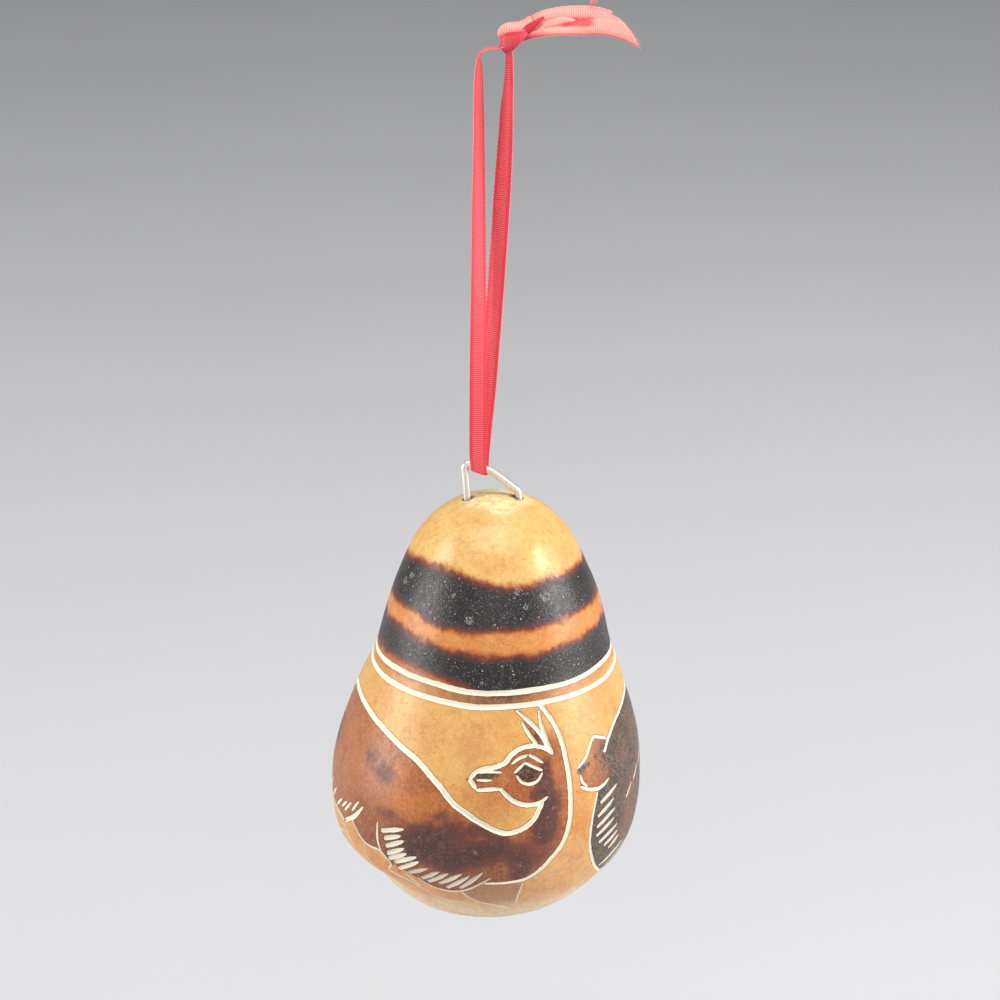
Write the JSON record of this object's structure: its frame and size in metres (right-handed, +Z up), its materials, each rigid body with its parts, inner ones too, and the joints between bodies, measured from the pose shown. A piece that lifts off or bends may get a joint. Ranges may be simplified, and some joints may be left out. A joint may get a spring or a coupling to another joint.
{
  "type": "carved gourd ornament",
  "caption": "Small dried gourd, carved and burnt with bands and llamas, hung by a bent wire bail on a knotted loop of narrow red ribbon.",
  "frame": {"origin": "centre of the hook seat, in the bend that the ribbon makes over a hook", "axes": "+Z up; the carved face seen from the front looks along -Y; +X to the right of that view, the side that the ribbon's cut tails point to"},
  "size_m": [0.0607, 0.0607, 0.1741],
  "materials": {
    "gourd_skin": "dried gourd rind, tan to orange, burnt black and brown in bands, waxed to a low sheen",
    "gourd_flesh": "pale dry flesh where the rind is carved away, matte",
    "bail_steel": "bright drawn steel wire",
    "seed_husk": "dry papery seed coat, matte",
    "red_ribbon": "coral red grosgrain, fine cross ribs, soft sheen"
  },
  "bodies": {
    "hook_bend": {"ribbon_over_hook": "red_ribbon"},
    "ribbon_loop": {"ribbon_left_strand": "red_ribbon", "ribbon_right_strand": "red_ribbon", "ribbon_knot": "red_ribbon", "ribbon_tail_upper": "red_ribbon", "ribbon_tail_lower": "red_ribbon"},
    "ribbon_end": {"ribbon_fold": "red_ribbon"},
    "gourd": {"gourd_shell": "gourd_skin", "wire_bail": "bail_steel"},
    "seeds": {"dried_seeds": "seed_husk"}
  },
  "joints": [
    {"name": "ribbon_sway", "type": "hinge", "parent": "hook_bend", "child": "ribbon_loop", "pos_m": [0, 0, 0], "axis": [0, 1, 0], "range_deg": [-60, 60], "deforming": ["ribbon_over_hook"]},
    {"name": "gourd_turn", "type": "hinge", "parent": "ribbon_loop", "child": "ribbon_end", "pos_m": [-0.0023, 0, -0.0721], "axis": [0, 0, 1], "range_deg": [-120, 120], "stiffness_Nm_per_rad": 0.00001, "deforming": ["ribbon_left_strand", "ribbon_right_strand"]},
    {"name": "gourd_swing", "type": "hinge", "parent": "ribbon_end", "child": "gourd", "pos_m": [-0.0023, 0, -0.07434], "axis": [0.9424, 0, -0.3345], "range_deg": [-60, 60]},
    {"name": "seeds_roll", "type": "hinge", "parent": "gourd", "child": "seeds", "pos_m": [-0.0004, 0, -0.13554], "axis": [0, 1, 0], "range_deg": [-25, 25]}
  ]
}
